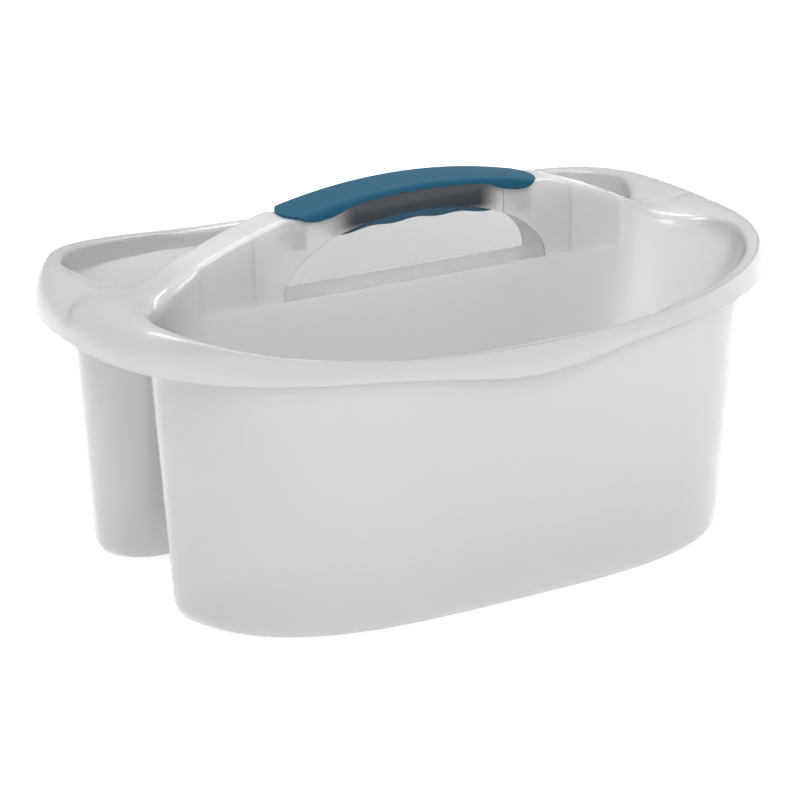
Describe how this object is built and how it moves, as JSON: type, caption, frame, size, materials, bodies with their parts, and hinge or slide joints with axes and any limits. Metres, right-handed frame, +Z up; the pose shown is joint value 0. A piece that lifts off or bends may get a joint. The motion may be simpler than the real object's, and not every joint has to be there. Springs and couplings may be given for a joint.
{
  "type": "cleaning caddy",
  "caption": "Divided translucent carry tub with an arched rim and a hollow arched handle that has a soft clipped-on grip, for cleaning supplies.",
  "frame": {"origin": "on the floor, midway between the two feet, under the middle of the handle", "axes": "+X along the handle, +Y across it towards the far compartment, +Z up"},
  "size_m": [0.41, 0.273, 0.2055],
  "materials": {
    "clear_body": "translucent natural polypropylene, satin",
    "grip_blue": "soft matt teal blue",
    "insert_blue": "soft matt teal blue"
  },
  "bodies": {
    "root": {"tub": "clear_body", "grip_cover": "grip_blue", "finger_grip": "insert_blue"}
  },
  "joints": []
}
